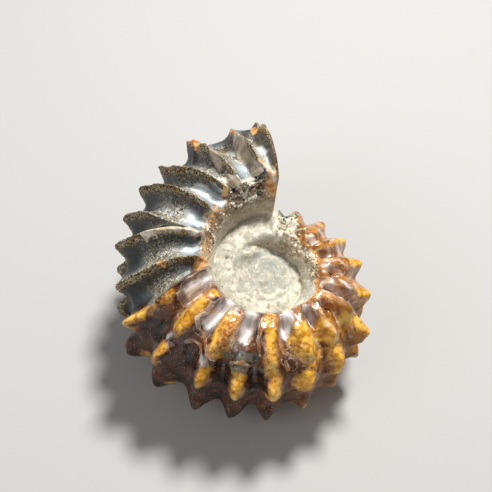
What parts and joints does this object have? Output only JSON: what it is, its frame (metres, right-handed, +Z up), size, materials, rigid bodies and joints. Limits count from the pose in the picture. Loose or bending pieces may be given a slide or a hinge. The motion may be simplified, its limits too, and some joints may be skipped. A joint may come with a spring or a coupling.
{
  "type": "fossil ammonite",
  "caption": "Spiny, thick-ribbed fossil ammonite in amber calcite and grey nacre, lying on one flank, with a chalky stepped umbilicus and a broken mouth.",
  "frame": {"origin": "centre of the bounding box on the surface that the stone lies on", "axes": "+Z up as it lies on its flank, +Y from the coil's far side toward the broken mouth, +X to the right seen from the far side"},
  "size_m": [0.0486, 0.0592, 0.0376],
  "materials": {
    "fossil": "glossy amber and grey, chalky in the umbilicus"
  },
  "bodies": {
    "root": {"ammonite": "fossil"}
  },
  "joints": []
}
